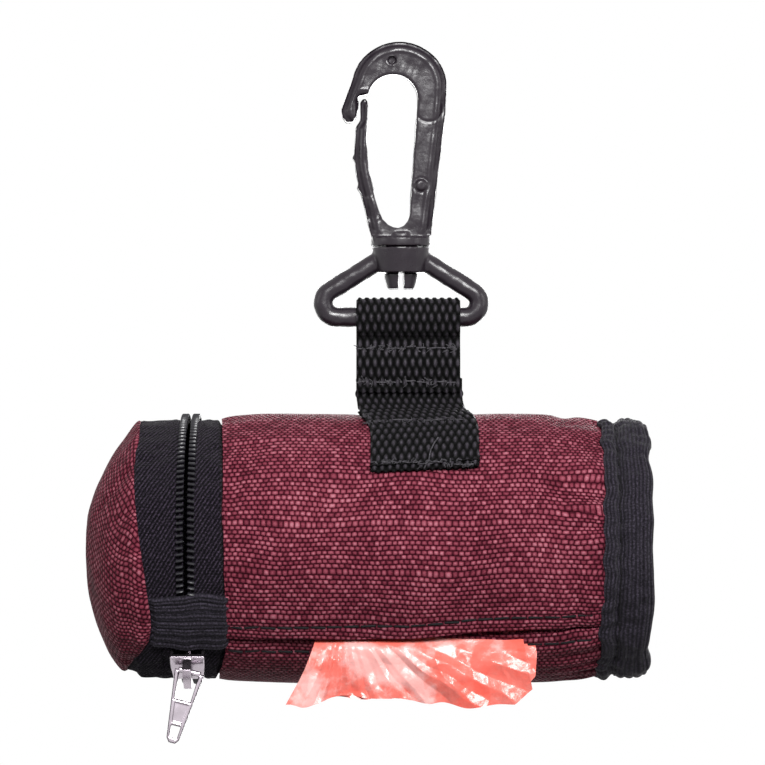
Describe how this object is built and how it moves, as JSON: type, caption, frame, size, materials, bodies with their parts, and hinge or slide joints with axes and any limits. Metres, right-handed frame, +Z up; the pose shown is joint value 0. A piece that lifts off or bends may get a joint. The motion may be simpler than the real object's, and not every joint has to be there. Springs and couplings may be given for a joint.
{
  "type": "dog poop bag dispenser",
  "caption": "Round zipped fabric pouch for a roll of dog waste bags, fed out through a slit, hung by webbing from a swivel snap hook.",
  "frame": {"origin": "centre of the hook's crown, where the object hangs from a ring or a loop", "axes": "+X to the right along the pouch, away from the zip; -Y to the front; +Z up"},
  "size_m": [0.1021, 0.0504, 0.1286],
  "materials": {
    "hook": "satin moulded plastic, charcoal black",
    "webbing": "woven polypropylene webbing, black",
    "thread": "polyester thread, black",
    "shell": "coated woven polyester, burgundy",
    "tape": "woven zip tape, black",
    "coil": "nylon coil, black",
    "zip_metal": "plated zinc, dark nickel",
    "card": "cardboard",
    "film": "thin polyethylene film, coral red"
  },
  "bodies": {
    "hook": {"hook_body": "hook"},
    "gate": {"hook_gate": "hook"},
    "ring": {"swivel_ring": "hook"},
    "strap": {"strap_loop": "webbing", "strap_loop_stitches": "thread"},
    "pouch": {"strap_patch": "webbing", "strap_patch_stitches": "thread", "pouch_panel": "shell", "upper_hem": "shell", "lower_hem": "shell", "upper_lip_stitches": "thread", "lower_lip_stitches": "thread", "end_disc": "shell", "end_binding": "webbing", "binding_stitches": "thread", "zip_tape_pouch": "tape", "zip_coil_pouch": "coil", "zip_tape_lap": "tape", "zip_tab": "webbing"},
    "slider": {"zip_slider": "zip_metal"},
    "puller": {"zip_puller": "zip_metal"},
    "cap": {"cap_dome": "shell", "zip_tape_cap": "tape", "zip_coil_cap": "coil", "zip_tab_cap_end": "webbing"},
    "roll": {"roll_core": "card", "bag_roll": "film"},
    "tail": {"bag_tail": "film"}
  },
  "joints": [
    {"name": "gate_flex", "type": "hinge", "parent": "hook", "child": "gate", "pos_m": [-0.0036, 0, -0.0212], "axis": [0, 1, 0], "range_deg": [0, 20], "stiffness_Nm_per_rad": 0.2},
    {"name": "hook_swivel", "type": "hinge", "parent": "hook", "child": "ring", "pos_m": [0.0015, 0, -0.02965], "axis": [0, 0, 1], "continuous": true},
    {"name": "ring_swing", "type": "hinge", "parent": "ring", "child": "strap", "pos_m": [0.0024, 0, -0.0402], "axis": [1, 0, 0], "range_deg": [-100, 100]},
    {"name": "strap_fold", "type": "hinge", "parent": "strap", "child": "pouch", "pos_m": [0.0024, 0, -0.0549], "axis": [1, 0, 0], "range_deg": [-30, 30]},
    {"name": "zip_run", "type": "hinge", "parent": "pouch", "child": "slider", "pos_m": [-0.0372, 0, -0.08305], "axis": [1, 0, 0], "range_deg": [0, 310]},
    {"name": "puller_flip", "type": "hinge", "parent": "slider", "child": "puller", "pos_m": [-0.0368, -0.01653, -0.1046], "axis": [1, 0, 0], "range_deg": [-120, 48]},
    {"name": "cap_open", "type": "hinge", "parent": "pouch", "child": "cap", "pos_m": [-0.0418, -0.019, -0.09983], "axis": [0, -0.662, 0.7495], "range_deg": [0, 90]},
    {"name": "roll_spin", "type": "hinge", "parent": "pouch", "child": "roll", "pos_m": [0.002, 0, -0.08855], "axis": [1, 0, 0], "range_deg": [0, 32]},
    {"name": "bag_pull", "type": "slide", "parent": "pouch", "child": "tail", "axis": [0, -0.0487, -0.9988], "range_m": [0, 0.01]}
  ],
  "couplings": [
    {"joint": "bag_pull", "follows": "roll_spin", "m_per_rad": 0.0175}
  ]
}
